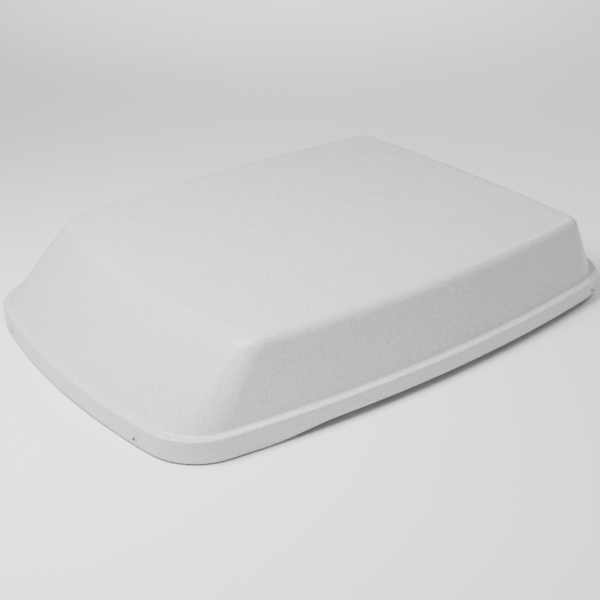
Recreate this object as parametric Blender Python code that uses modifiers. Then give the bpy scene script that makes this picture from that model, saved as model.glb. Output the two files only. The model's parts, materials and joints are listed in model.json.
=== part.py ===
"""Hinged roof vent for a caravan: a moulded cover, hinged over a roof frame and lifted by a crank.

Metres, +Z up. The origin is under the middle of the cover's footprint, on the roof's surface. The long
slope of the cover faces -Y and the hinge is at +Y. The cover is shown shut.
"""

import math

import bmesh
import bpy
import numpy as np
from mathutils import Matrix, Vector

# Cover, outside: the corners of each outline are where its bowed sides would meet.
HALF_WIDTH = 0.1978
FRONT_EDGE = -0.2818
REAR_EDGE = 0.2951
FRONT_BOW = 0.0231
REAR_BOW = 0.0098
SIDE_BOW = 0.0272
FRONT_RADIUS = 0.065
REAR_RADIUS = 0.071
CORNER_HEM = 0.0015
SIDE_HEM = 0.0075
REAR_HEM = 0.0085
FRONT_SCREW_Z = CORNER_HEM + 0.008
REAR_SCREW_Z = CORNER_HEM + 0.011
LEDGE_HEIGHT = 0.0254
LEDGE_WIDTH = 0.0079
LEDGE_CHAMFER = 0.0022
TOP_HEIGHT = 0.0988
TOP_HALF_WIDTH = 0.1827
TOP_FRONT = -0.1931
TOP_REAR = 0.2445
TOP_FRONT_BOW = 0.0261
TOP_REAR_BOW = 0.0073
TOP_SIDE_BOW = 0.0141
TOP_RADII = (0.026, 0.012)
RIDGE = 0.012
SIDE_RELIEF = (-0.20, -0.12)
SIDE_FACING = (0.68, 0.98)
REAR_RELIEF = (0.278, 0.292)
FRONT_SCREW_SHARE = 0.068
WALL = 0.003
BOSS_RADIUS = 0.0045
BOSS_PILOT = 0.0018
BOSS_PILOT_DEPTH = 0.005
SKIRT_HOLE = 0.0022

# Roof frame
GAP = 0.0003
THROUGH = 0.020
SMALL_HOLE_STEPS = 8
GASKET = 0.002
FLANGE = 0.003
FLANGE_INSET = 0.014
FLANGE_REAR = 0.283
OPENING_HALF = 0.172
OPENING_MIDDLE = 0.030
OPENING_RADIUS = 0.022
CURB_WALL = 0.004
CURB_TOP = 0.050
ROOF_SCREW_X = 0.184
ROOF_SCREW_Y = (-0.165, -0.055, 0.055, 0.165)
ROOF_SCREW_ENDS = ((0.075, FRONT_EDGE + 0.020), (0.060, FLANGE_REAR - 0.012))
ROOF_SCREW_HOLE = 0.0024
GASKET_HOLE = 0.0027
GASKET_INSET = 0.002
GASKET_SETBACK = 0.006
EAR_FOOT = (0.270, 0.0105)
EAR_FOOT_RADIUS = 0.008

# Lid frame and its seal
LID_FRAME_CLEAR = 0.0008
LID_FRAME_WIDTH = 0.021
LID_FRAME_LOW = 0.0085
LID_FRAME_HIGH = 0.0185
LID_FRAME_REAR = 0.258
SEAL_LOW = GASKET + FLANGE + 2 * GAP
SEAL_WIDTH = 0.008
SEAL_REAR = LID_FRAME_REAR - 0.003
LID_FRAME_REAR_WIDTH = 0.014
LID_FRAME_PILOT = 0.0020
LID_FRAME_PILOT_DEPTH = 0.016
KNUCKLE_FOOT = (LID_FRAME_REAR - 0.007, LID_FRAME_HIGH - 0.005)
KNUCKLE_FOOT_RADIUS = 0.0045

# Hinge
HINGE_Y = 0.292
HINGE_Z = 0.0155
KNUCKLE_RADIUS = 0.0060
KNUCKLE_WIDTH = 0.010
KNUCKLE_GAP = 0.001
HINGE_PIN_RADIUS = 0.0025
HINGE_PIN_HEAD = 0.0045
PIN_HEAD_HEIGHT = 0.0015
PIN_POINT = 0.0005
EAR_X = 0.095
OPEN_ANGLE = math.radians(55)

# Lift linkage: the arm is as long as its pivot is from the hinge, so it turns twice as far as the cover.
ARM_LENGTH = 0.190
PIVOT_Z = 0.030
TRACK_SLOPE = math.radians(8.5)
ARM_X = 0.0135
ARM_THICK = 0.004
ARM_HALF_WIDTH = 0.007
ARM_HUB = 0.009
ARM_PIN_RADIUS = 0.0025
ARM_PIN_HEAD = 0.0042
ARM_PIN_REACH = 0.0025
SHAFT_RADIUS = 0.004
SHAFT_HEAD = 0.0058
SHAFT_REACH = 0.0035
CLIP_THICK = 0.001
CLIP_GAP = 0.0012
CLIP_MOUTH = math.radians(35)
SHAFT_STEPS = 16
PIN_CLIP_RADIUS = 0.0048
SHAFT_CLIP_RADIUS = 0.0068
TRACK_X = 0.0185
TRACK_PLATE = 0.0025
TRACK_FLANGE = 0.0215
TRACK_TOP = 0.090
TRACK_END = 0.017
TRACK_HALF_HEIGHT = 0.010
TRACK_SCREWS = [(0.0325, y, TRACK_TOP) for y in (-0.080, 0.010, 0.095)]
TRACK_SCREW_HOLE = 0.0020
SLOT_END = 0.008
SLOT_HALF = 0.0044
ROLLER_RADIUS = 0.0041
ROLLER_RIM = 0.0068
ROLLER_STEPS = 20
ROLLER_PROUD = 0.0005

# Crank
WHEEL_TEETH = 20
MODULE = 0.0015
WHEEL_FACE = 0.006
TOOTH_DEPTH = (-0.0017, 0.0012)
TOOTH_HALF_WIDTH = (0.0010, 0.0005)
HUB_RADIUS = 0.0085
WORM_PITCH_RADIUS = 0.005
WORM_ROOT = 0.0030
WORM_TIP = WORM_PITCH_RADIUS + 0.0012
WORM_HALF_ROOT = 0.0011
WORM_HALF_TIP = 0.0005
WORM_HALF_TURNS = 1.6
WORM_CORE = 0.0034
WORM_CORE_HALF = 0.0105
HOUSING_HALF = 0.010
HOUSING_WALL = 0.003
HOUSING_LOW = 0.0128
HOUSING_TOP = 0.050
PLATE_LOW = 0.010
KNOB_RADIUS = 0.018
KNOB_LOW = 0.001
KNOB_HIGH = 0.0079
KNOB_LOBES = 6
KNOB_LOBE_DEPTH = 0.0012
KNOB_FLOOR = 0.0030
SPINDLE_RADIUS = 0.003
SPINDLE_STEPS = 18
SPINDLE_SETBACK = 0.0006
SPINDLE_CROWN = 0.0004
BAR_Y = (0.115, 0.133)
BAR_Z = (0.014, 0.032)
BAR_FOOT = 0.003
BAR_FOOT_REACH = 0.017
BAR_SCREW_Y = (0.105, 0.143)
BAR_SCREW_HOLE = 0.0018
HOUSING_FRONT_REACH = 0.0255
HOUSING_REAR_REACH = 0.0175
HOUSING_FRONT_WALL = 0.0085
HOUSING_REAR_WALL = 0.0100
LID_PILOT = 0.0015
LID_PILOT_DEPTH = 0.008
GEAR_COVER_RADIUS = 0.002
BAR_HOLE_LENGTH = 0.0135

# Screws: head radius, head height, shank radius, length under the head
COVER_SCREW = (0.0030, 0.0011, 0.0017, 0.014)
ROOF_SCREW = (0.0042, 0.0022, 0.0020, GASKET + FLANGE + 2 * GAP - 0.0005)
TRACK_SCREW = (0.0036, 0.0020, 0.0015, 0.0070)
BAR_SCREW = (0.0034, 0.0018, 0.0015, 0.0070)
LID_SCREW = (0.0028, 0.0014, 0.0012, 0.0090)
HEAD_CROWN = 0.72
HEAD_RIM = 0.35
SCREW_POINT = 0.8
SCREW_STEPS = 10

PIVOT_Y = HINGE_Y - math.sqrt(ARM_LENGTH**2 - (PIVOT_Z - HINGE_Z) ** 2)
PIVOT_RISE = math.atan2(PIVOT_Z - HINGE_Z, HINGE_Y - PIVOT_Y)
WHEEL_PITCH_RADIUS = WHEEL_TEETH * MODULE / 2
CRANK_Y = PIVOT_Y + WHEEL_PITCH_RADIUS + WORM_PITCH_RADIUS

FINISHES = {
    "moulded_shell": ((0.58, 0.58, 0.58), 0.36, 0.0),
    "frame_plastic": ((0.62, 0.62, 0.60), 0.50, 0.0),
    "lid_frame_plastic": ((0.10, 0.105, 0.11), 0.50, 0.0),
    "butyl": ((0.08, 0.08, 0.08), 0.75, 0.0),
    "foam": ((0.045, 0.045, 0.045), 0.95, 0.0),
    "screw_steel": ((0.60, 0.60, 0.61), 0.32, 1.0),
    "cover_screw_paint": ((0.60, 0.60, 0.60), 0.45, 0.0),
    "pin_steel": ((0.58, 0.58, 0.60), 0.25, 1.0),
    "arm_steel": ((0.55, 0.56, 0.58), 0.40, 1.0),
    "track_aluminium": ((0.72, 0.72, 0.73), 0.40, 1.0),
    "acetal": ((0.78, 0.76, 0.70), 0.38, 0.0),
    "worm_brass": ((0.66, 0.50, 0.24), 0.30, 1.0),
    "crank_zinc": ((0.42, 0.42, 0.43), 0.50, 1.0),
    "knob_plastic": ((0.03, 0.03, 0.032), 0.45, 0.0),
}


def clear_scene():
    for obj in list(bpy.data.objects):
        bpy.data.objects.remove(obj, do_unlink=True)


def new_collection(name):
    collection = bpy.data.collections.new(name)
    bpy.context.scene.collection.children.link(collection)
    return collection


def new_materials():
    made = {}
    for name, (colour, roughness, metallic) in FINISHES.items():
        material = bpy.data.materials.new(name)
        material.use_nodes = True
        shader = material.node_tree.nodes["Principled BSDF"]
        shader.inputs["Base Color"].default_value = (*colour, 1.0)
        shader.inputs["Roughness"].default_value = roughness
        shader.inputs["Metallic"].default_value = metallic
        made[name] = material
    return made


clear_scene()
PARTS = new_collection("roof_vent_cover")
CUTTERS = new_collection("cutters")
MATERIALS = new_materials()
UP, DOWNWARD = (0.0, 0.0, 1.0), (0.0, 0.0, -1.0)
# Turns a plate's x, y, z into Y, Z, X.
ALONG_X = Matrix(((0, 0, 1, 0), (1, 0, 0, 0), (0, 1, 0, 0), (0, 0, 0, 1)))


def add(name, mesh, finish, place=None):
    """One sub-part, shaded smooth with its sharp edges kept."""
    obj = bpy.data.objects.new(name, mesh)
    mesh.materials.append(MATERIALS[finish])
    mesh.shade_smooth()
    mesh.set_sharp_from_angle(angle=math.radians(35))
    if place is not None:
        obj.matrix_world = place
    PARTS.objects.link(obj)
    return obj


def helper(name, mesh):
    """A cutter or a piece to be joined, which isn't part of the object."""
    obj = bpy.data.objects.new(name, mesh)
    obj.hide_render = True
    obj.display_type = "WIRE"
    CUTTERS.objects.link(obj)
    return obj


def boolean(obj, mesh, operation):
    """Joins the mesh to the object or cuts it away; the cutter hangs on the object and moves with it."""
    other = helper(mesh.name, mesh)
    other.parent = obj
    other.matrix_parent_inverse = obj.matrix_basis.inverted()
    modifier = obj.modifiers.new(f"{operation.lower()} {other.name}", "BOOLEAN")
    modifier.operation = operation
    modifier.solver = "EXACT"
    modifier.object = other


def join(obj, mesh):
    boolean(obj, mesh, "UNION")


def cut(obj, mesh):
    boolean(obj, mesh, "DIFFERENCE")


def plate_mesh(name, loops, thickness):
    """Flat plate in XY, from z=0 up; the loops after the first are holes."""
    curve = bpy.data.curves.new(name, "CURVE")
    curve.dimensions = "2D"
    curve.fill_mode = "BOTH"
    curve.extrude = thickness / 2
    for loop in loops:
        spline = curve.splines.new("POLY")
        spline.points.add(len(loop) - 1)
        for point, (x, y) in zip(spline.points, loop, strict=True):
            point.co = (x, y, 0.0, 1.0)
        spline.use_cyclic_u = True
    holder = bpy.data.objects.new(name, curve)
    CUTTERS.objects.link(holder)
    graph = bpy.context.evaluated_depsgraph_get()
    mesh = bpy.data.meshes.new_from_object(holder.evaluated_get(graph))
    bpy.data.objects.remove(holder, do_unlink=True)
    bm = bmesh.new()
    bm.from_mesh(mesh)
    bmesh.ops.remove_doubles(bm, verts=bm.verts, dist=1e-6)
    bmesh.ops.translate(bm, verts=bm.verts, vec=(0.0, 0.0, thickness / 2))
    bmesh.ops.recalc_face_normals(bm, faces=bm.faces)
    bm.to_mesh(mesh)
    bm.free()
    mesh.name = name
    return mesh


def box_mesh(name, low, high):
    bm = bmesh.new()
    size = [b - a for a, b in zip(low, high, strict=True)]
    middle = [(a + b) / 2 for a, b in zip(low, high, strict=True)]
    place = Matrix.Translation(middle) @ Matrix.Diagonal((*size, 1.0))
    bmesh.ops.create_cube(bm, size=1.0, matrix=place)
    return finished(bm, name)


def cylinders_mesh(name, sites, radius, depth, segments=12):
    """Separate cylinders, each centred on one of the sites and lying along its direction."""
    bm = bmesh.new()
    for centre, direction in sites:
        turn = Vector((0.0, 0.0, 1.0)).rotation_difference(Vector(direction)).to_matrix().to_4x4()
        place = Matrix.Translation(centre) @ turn
        bmesh.ops.create_cone(
            bm, cap_ends=True, segments=segments, radius1=radius, radius2=radius, depth=depth, matrix=place
        )
    return finished(bm, name)


def finished(bm, name):
    mesh = bpy.data.meshes.new(name)
    bm.to_mesh(mesh)
    bm.free()
    return mesh


def turned(name, profile, finish, place, segments=12):
    """Solid of revolution about the local Z; the profile runs from the top of the axis down to its foot."""
    bm = bmesh.new()
    verts = [bm.verts.new((radius, 0.0, z)) for radius, z in profile]
    for first, second in zip(verts, verts[1:]):
        bm.edges.new((first, second))
    obj = add(name, finished(bm, name), finish, place)
    modifier = obj.modifiers.new("turn", "SCREW")
    modifier.steps = segments
    modifier.render_steps = segments
    modifier.use_merge_vertices = True
    modifier.merge_threshold = 1e-5
    modifier.use_smooth_shade = True
    return obj


def aimed(centre, direction):
    """Placement with the local Z along the direction."""
    turn = Vector((0.0, 0.0, 1.0)).rotation_difference(Vector(direction)).to_matrix().to_4x4()
    return Matrix.Translation(centre) @ turn


def pin_profile(head, radius, length):
    """Headed pin, from the top of its head down to its point."""
    return [
        (0.0, PIN_HEAD_HEIGHT),
        (head, PIN_HEAD_HEIGHT),
        (head, 0.0),
        (radius, 0.0),
        (radius, -length),
        (0.0, -length - PIN_POINT),
    ]


def screw(name, seat, direction, size, finish="screw_steel"):
    """Screw whose head stands on the seat and whose shank runs the other way from the direction."""
    head, head_height, shank, length = size
    profile = [
        (0.0, head_height),
        (head * HEAD_CROWN, head_height),
        (head, head_height * HEAD_RIM),
        (head, 0.0),
        (shank, 0.0),
        (shank, -length + shank * SCREW_POINT),
        (0.0, -length),
    ]
    return turned(name, profile, finish, aimed(seat, direction), SCREW_STEPS)


# ---- Outlines --------------------------------------------------------------------------------------


def side_circle(start, end, bow):
    """Centre and radius of the arc from start to end that bulges to the right of that direction."""
    along = end - start
    length = np.linalg.norm(along)
    outward = np.array((along[1], -along[0])) / length
    radius = (length**2 / 4 + bow**2) / (2 * bow)
    return (start + end) / 2 + outward * (bow - radius), radius


def corner_centre(first, second, radius, corner):
    """Centre of the arc of this radius that is tangent to both side circles, near their corner."""
    (c1, r1), (c2, r2) = first, second
    reach1, reach2 = r1 - radius, r2 - radius
    apart = c2 - c1
    distance = np.linalg.norm(apart)
    along = (distance**2 + reach1**2 - reach2**2) / (2 * distance)
    across = math.sqrt(reach1**2 - along**2)
    foot = c1 + apart / distance * along
    normal = np.array((-apart[1], apart[0])) / distance
    options = (foot + normal * across, foot - normal * across)
    return min(options, key=lambda point: np.linalg.norm(point - corner))


def arc_points(centre, radius, start, end, steps):
    """Points and outward normals from one direction to another, without the last point."""
    first = math.atan2(start[1], start[0])
    turn = (math.atan2(end[1], end[0]) - first) % (2 * math.pi)
    angles = first + turn * np.arange(steps) / steps
    normals = np.column_stack((np.cos(angles), np.sin(angles)))
    return centre + radius * normals, normals


def bowed_outline(half_width, front, rear, bows, radii, side_steps, corner_steps):
    """Rounded rectangle with bowed sides, counter-clockwise: its points and their outward normals.

    The order is front side, right front corner, right side, right rear corner, rear side and so on.
    """
    places = ((-half_width, front), (half_width, front), (half_width, rear), (-half_width, rear))
    corners = [np.array(place) for place in places]
    front_bow, side_bow, rear_bow = bows
    side_bows = (front_bow, side_bow, rear_bow, side_bow)
    radius_at = (radii[0], radii[0], radii[1], radii[1])
    circles = [side_circle(corners[i], corners[(i + 1) % 4], side_bows[i]) for i in range(4)]
    centres = [corner_centre(circles[i - 1], circles[i], radius_at[i], corners[i]) for i in range(4)]
    points, normals = [], []
    for i in range(4):
        after = (i + 1) % 4
        side_centre, side_radius = circles[i]
        start, end = centres[i] - side_centre, centres[after] - side_centre
        turn_to = centres[after] - circles[after][0]
        for found in (
            arc_points(side_centre, side_radius, start, end, side_steps),
            arc_points(centres[after], radius_at[after], end, turn_to, corner_steps),
        ):
            points.append(found[0])
            normals.append(found[1])
    return np.vstack(points), np.vstack(normals)


SIDE_STEPS = 8
CORNER_STEPS = 6
BASE, BASE_NORMALS = bowed_outline(
    HALF_WIDTH,
    FRONT_EDGE,
    REAR_EDGE,
    (FRONT_BOW, SIDE_BOW, REAR_BOW),
    (FRONT_RADIUS, REAR_RADIUS),
    SIDE_STEPS,
    CORNER_STEPS,
)


def top_outline(inset):
    return bowed_outline(
        TOP_HALF_WIDTH - inset,
        TOP_FRONT + inset,
        TOP_REAR - inset,
        (TOP_FRONT_BOW, TOP_SIDE_BOW, TOP_REAR_BOW),
        TOP_RADII,
        SIDE_STEPS,
        CORNER_STEPS,
    )[0]


def inset_base(distance):
    return BASE - BASE_NORMALS * distance


def rounded_rectangle(low, high, radius, steps=5):
    """Loop of a rectangle with round corners, counter-clockwise."""
    centres = (
        (high[0] - radius, high[1] - radius),
        (low[0] + radius, high[1] - radius),
        (low[0] + radius, low[1] + radius),
        (high[0] - radius, low[1] + radius),
    )
    loop = []
    for quarter, (x, y) in enumerate(centres):
        for step in range(steps + 1):
            angle = math.pi / 2 * (quarter + step / steps)
            loop.append((x + radius * math.cos(angle), y + radius * math.sin(angle)))
    return loop


def circle(centre, radius, steps=12):
    angles = [2 * math.pi * step / steps for step in range(steps)]
    return [(centre[0] + radius * math.cos(a), centre[1] + radius * math.sin(a)) for a in angles]


def smoothstep(low, high, value):
    share = np.clip((value - low) / (high - low), 0.0, 1.0)
    return share * share * (3 - 2 * share)


# ---- Cover -----------------------------------------------------------------------------------------


def hem_heights():
    """Height of the skirt's lower edge: lowest at the corners, relieved along the sides and the hinge."""
    side = smoothstep(*SIDE_RELIEF, BASE[:, 1]) * smoothstep(*SIDE_FACING, np.abs(BASE_NORMALS[:, 0]))
    rear = smoothstep(*REAR_RELIEF, BASE[:, 1])
    return CORNER_HEM + (SIDE_HEM - CORNER_HEM) * side + (REAR_HEM - CORNER_HEM) * rear


def at_height(points, height):
    return np.column_stack((points, np.full(len(points), height)))


def cover_rings():
    """Rings of the cover's outer face, from the hem up to the edge of the flat top."""
    foot = at_height(inset_base(LEDGE_WIDTH), LEDGE_HEIGHT)
    ridge = at_height(top_outline(0.0), TOP_HEIGHT)
    flat = at_height(top_outline(RIDGE), TOP_HEIGHT)
    rise = ridge - foot
    shoulder = ridge - rise / np.linalg.norm(rise, axis=1)[:, None] * RIDGE
    rings = [
        np.column_stack((BASE, hem_heights())),
        at_height(BASE, LEDGE_HEIGHT - LEDGE_CHAMFER),
        at_height(inset_base(LEDGE_CHAMFER), LEDGE_HEIGHT),
        foot,
        (foot + shoulder) / 2,
        shoulder,
    ]
    for share in (1 / 3, 2 / 3):
        rings.append((1 - share) ** 2 * shoulder + 2 * share * (1 - share) * ridge + share**2 * flat)
    return [*rings, flat]


def loft(name, rings):
    """Open surface through the rings, with its last ring filled."""
    bm = bmesh.new()
    rows = [[bm.verts.new(point) for point in ring] for ring in rings]
    count = len(rows[0])
    for lower, upper in zip(rows, rows[1:]):
        for i in range(count):
            j = (i + 1) % count
            bm.faces.new((lower[i], lower[j], upper[j], upper[i]))
    bm.faces.new(rows[-1])
    return finished(bm, name)


def outline_site(index, height):
    """Place and outward direction on the cover's skirt, at a point of the outline or between two."""
    first = int(index)
    share = index - first
    place = BASE[first] * (1 - share) + BASE[first + 1] * share
    normal = BASE_NORMALS[first] * (1 - share) + BASE_NORMALS[first + 1] * share
    return (*place, height), (*normal, 0.0)


def cover_screw_sites():
    """Two screws face the front, just before its corners, and two are just round the rear corners."""
    per_side = SIDE_STEPS + CORNER_STEPS
    inward = SIDE_STEPS * FRONT_SCREW_SHARE
    return {
        "front_right": outline_site(SIDE_STEPS - inward, FRONT_SCREW_Z),
        "front_left": outline_site(inward, FRONT_SCREW_Z),
        "rear_right": outline_site(per_side + SIDE_STEPS + 1, REAR_SCREW_Z),
        "rear_left": outline_site(3 * per_side - 1, REAR_SCREW_Z),
    }


def build_cover():
    cover = add("cover_shell", loft("cover_shell", cover_rings()), "moulded_shell")
    solidify = cover.modifiers.new("wall", "SOLIDIFY")
    solidify.thickness = WALL
    solidify.offset = -1.0
    solidify.use_even_offset = True
    boss_top = TOP_HEIGHT - WALL / 2
    boss_low = TRACK_TOP + GAP
    bosses = [((x, y, (boss_top + boss_low) / 2), (0, 0, 1)) for x, y, _ in TRACK_SCREWS]
    join(cover, cylinders_mesh("track_bosses", bosses, BOSS_RADIUS, boss_top - boss_low))
    pilots = [((x, y, boss_low), (0, 0, 1)) for x, y, _ in TRACK_SCREWS]
    cut(cover, cylinders_mesh("track_pilots", pilots, BOSS_PILOT, 2 * BOSS_PILOT_DEPTH))
    cut(cover, cylinders_mesh("skirt_holes", cover_screw_sites().values(), SKIRT_HOLE, 4 * WALL))
    for name, (seat, direction) in cover_screw_sites().items():
        raised = Vector(seat) + Vector(direction) * GAP
        screw(f"cover_screw_{name}", raised, direction, COVER_SCREW, "cover_screw_paint")


# ---- Lid frame, seal and hinge ---------------------------------------------------------------------


def rear_clipped(points, limit):
    """The loop with everything behind the limit brought forward to it."""
    return [(x, min(y, limit)) for x, y in points]


def lever_loop(start, end, start_radius, end_radius, steps=8):
    """Outline of two discs and the straight edges tangent to both."""
    (y1, z1), (y2, z2) = start, end
    heading = math.atan2(z2 - z1, y2 - y1)
    lean = math.acos((start_radius - end_radius) / math.dist(start, end))
    loop = []
    for centre, radius, first, last in (
        (start, start_radius, heading + lean, heading + 2 * math.pi - lean),
        (end, end_radius, heading - lean, heading + lean),
    ):
        for step in range(steps + 1):
            angle = first + (last - first) * step / steps
            loop.append((centre[0] + radius * math.cos(angle), centre[1] + radius * math.sin(angle)))
    return loop


def side_plate(name, loops, low_x, thickness):
    """Mesh of a plate that lies in the YZ plane from low_x on; its loops are (y, z)."""
    mesh = plate_mesh(name, loops, thickness)
    mesh.transform(Matrix.Translation((low_x, 0.0, 0.0)) @ ALONG_X)
    return mesh


def knuckle_low_x(side, from_middle):
    return side * from_middle - KNUCKLE_WIDTH / 2


def build_lid_frame():
    outer = rear_clipped(inset_base(WALL + LID_FRAME_CLEAR), LID_FRAME_REAR)
    inner_rear = LID_FRAME_REAR - LID_FRAME_REAR_WIDTH
    inner = rear_clipped(inset_base(WALL + LID_FRAME_CLEAR + LID_FRAME_WIDTH), inner_rear)
    mesh = plate_mesh("lid_frame", (unique(outer), unique(inner)), LID_FRAME_HIGH - LID_FRAME_LOW)
    frame = add("lid_frame", mesh, "lid_frame_plastic", Matrix.Translation((0.0, 0.0, LID_FRAME_LOW)))
    hole = circle((HINGE_Y, HINGE_Z), HINGE_PIN_RADIUS + GAP)
    for side in (-1, 1):
        loop = lever_loop((HINGE_Y, HINGE_Z), KNUCKLE_FOOT, KNUCKLE_RADIUS, KNUCKLE_FOOT_RADIUS)
        low_x = knuckle_low_x(side, EAR_X + KNUCKLE_WIDTH + KNUCKLE_GAP)
        join(frame, side_plate(f"knuckle {side}", (loop, hole), low_x, KNUCKLE_WIDTH))
    sites = cover_screw_sites().values()
    cut(frame, cylinders_mesh("lid_frame_pilots", sites, LID_FRAME_PILOT, 2 * LID_FRAME_PILOT_DEPTH))


def unique(points):
    """The loop without points that repeat or lie inside a straight run."""
    kept = []
    count = len(points)
    for i, point in enumerate(points):
        before, after = points[i - 1], points[(i + 1) % count]
        first = np.subtract(point, before)
        second = np.subtract(after, point)
        if abs(first[0] * second[1] - first[1] * second[0]) > 1e-9:
            kept.append(tuple(float(value) for value in point))
    return kept


def build_lid_seal():
    inset = WALL + LID_FRAME_CLEAR + LID_FRAME_WIDTH
    outer = unique(rear_clipped(inset_base(inset - SEAL_WIDTH), SEAL_REAR))
    inner = unique(rear_clipped(inset_base(inset), SEAL_REAR - SEAL_WIDTH))
    mesh = plate_mesh("lid_seal", (outer, inner), LID_FRAME_LOW - GAP - SEAL_LOW)
    add("lid_seal", mesh, "foam", Matrix.Translation((0.0, 0.0, SEAL_LOW)))


def build_hinge_pins():
    profile = pin_profile(HINGE_PIN_HEAD, HINGE_PIN_RADIUS, 2 * KNUCKLE_WIDTH + 4 * KNUCKLE_GAP)
    for side, name in ((-1, "left"), (1, "right")):
        seat = (side * (EAR_X + 1.5 * (KNUCKLE_WIDTH + KNUCKLE_GAP)), HINGE_Y, HINGE_Z)
        turned(f"hinge_pin_{name}", profile, "pin_steel", aimed(seat, (side, 0.0, 0.0)))


# ---- Roof frame ------------------------------------------------------------------------------------


def opening_loop(grow):
    low = (-OPENING_HALF - grow, OPENING_MIDDLE - OPENING_HALF - grow)
    high = (OPENING_HALF + grow, OPENING_MIDDLE + OPENING_HALF + grow)
    return rounded_rectangle(low, high, OPENING_RADIUS + grow)


def flange_loop(inset):
    return unique(rear_clipped(inset_base(inset), FLANGE_REAR))


def roof_screw_places():
    """Twelve places round the flange, two by two on either side of the middle."""
    along = [(ROOF_SCREW_X, y) for y in ROOF_SCREW_Y]
    return [(side * x, y) for x, y in (*along, *ROOF_SCREW_ENDS) for side in (-1, 1)]


def bar_screw_sites():
    """Two screws at each end of the crank bar, driven outwards into the curb."""
    foot_x = OPENING_HALF - GAP - BAR_FOOT
    middle_z = sum(BAR_Z) / 2
    return [
        ((side * foot_x, y, middle_z), (-side, 0.0, 0.0))
        for side in (-1, 1)
        for y in BAR_SCREW_Y
    ]


def build_roof_frame():
    low = GASKET + GAP
    frame = add(
        "roof_frame",
        plate_mesh("roof_frame", (flange_loop(FLANGE_INSET), opening_loop(0.0)), FLANGE),
        "frame_plastic",
        Matrix.Translation((0.0, 0.0, low)),
    )
    curb = plate_mesh("curb", (opening_loop(CURB_WALL), opening_loop(0.0)), CURB_TOP - low)
    curb.transform(Matrix.Translation((0.0, 0.0, low)))
    join(frame, curb)
    hole = circle((HINGE_Y, HINGE_Z), HINGE_PIN_RADIUS + GAP)
    for side in (-1, 1):
        loop = lever_loop((HINGE_Y, HINGE_Z), EAR_FOOT, KNUCKLE_RADIUS, EAR_FOOT_RADIUS)
        join(frame, side_plate(f"ear {side}", (loop, hole), knuckle_low_x(side, EAR_X), KNUCKLE_WIDTH))
    places = [((x, y, low), UP) for x, y in roof_screw_places()]
    cut(frame, cylinders_mesh("roof_holes", places, ROOF_SCREW_HOLE, THROUGH))
    cut(frame, cylinders_mesh("bar_holes", bar_screw_sites(), BAR_SCREW_HOLE, BAR_HOLE_LENGTH))


def build_gasket():
    holes = [circle(place, GASKET_HOLE, SMALL_HOLE_STEPS) for place in roof_screw_places()]
    half = OPENING_HALF + GASKET_SETBACK
    low, high = (-half, OPENING_MIDDLE - half), (half, OPENING_MIDDLE + half)
    inner = rounded_rectangle(low, high, OPENING_RADIUS)
    mesh = plate_mesh("roof_gasket", (flange_loop(FLANGE_INSET + GASKET_INSET), inner, *holes), GASKET)
    add("roof_gasket", mesh, "butyl")


def build_roof_screws():
    seat = GASKET + GAP + FLANGE + GAP
    for number, (x, y) in enumerate(roof_screw_places(), 1):
        screw(f"roof_screw_{number:02d}", (x, y, seat), UP, ROOF_SCREW)


# ---- Lift linkage ----------------------------------------------------------------------------------


def on_track(distance):
    """(y, z) of a point on the track's line, at this distance from the hinge."""
    return HINGE_Y - distance * math.cos(TRACK_SLOPE), HINGE_Z + distance * math.sin(TRACK_SLOPE)


def pin_distance(opened):
    return 2 * ARM_LENGTH * math.cos(TRACK_SLOPE - PIVOT_RISE + opened)


PIN_Y, PIN_Z = on_track(pin_distance(0.0))
FORWARD = np.array((-math.cos(TRACK_SLOPE), math.sin(TRACK_SLOPE)))
DOWN = np.array((-math.sin(TRACK_SLOPE), -math.cos(TRACK_SLOPE)))


def oblong(centre, half_length, half_height):
    """Rectangle whose long side lies along the track."""
    signs = ((-1, -1), (1, -1), (1, 1), (-1, 1))
    return [tuple(np.array(centre) + FORWARD * a * half_length + DOWN * b * half_height) for a, b in signs]


def build_track():
    near, far = pin_distance(OPEN_ANGLE), pin_distance(0.0)
    low_near = np.array(on_track(near - TRACK_END)) + DOWN * TRACK_HALF_HEIGHT
    low_far = np.array(on_track(far + TRACK_END)) + DOWN * TRACK_HALF_HEIGHT
    web = [tuple(low_near), (low_near[0], TRACK_TOP), (low_far[0], TRACK_TOP), tuple(low_far)]
    slot = oblong(on_track((near + far) / 2), (far - near) / 2 + SLOT_END, SLOT_HALF)
    plate = side_plate("lift_track", (web, slot), TRACK_X, TRACK_PLATE)
    track = add("lift_track", plate, "track_aluminium")
    flange = box_mesh(
        "track_flange",
        (TRACK_X, low_far[0], TRACK_TOP - TRACK_PLATE),
        (TRACK_X + TRACK_FLANGE, low_near[0], TRACK_TOP),
    )
    join(track, flange)
    places = [(place, UP) for place in TRACK_SCREWS]
    cut(track, cylinders_mesh("track_holes", places, TRACK_SCREW_HOLE, THROUGH / 2))
    for name, (x, y, z) in zip(("front", "middle", "rear"), TRACK_SCREWS, strict=True):
        seat = (x, y, z - TRACK_PLATE - GAP)
        screw(f"track_screw_{name}", seat, DOWNWARD, TRACK_SCREW)


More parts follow.
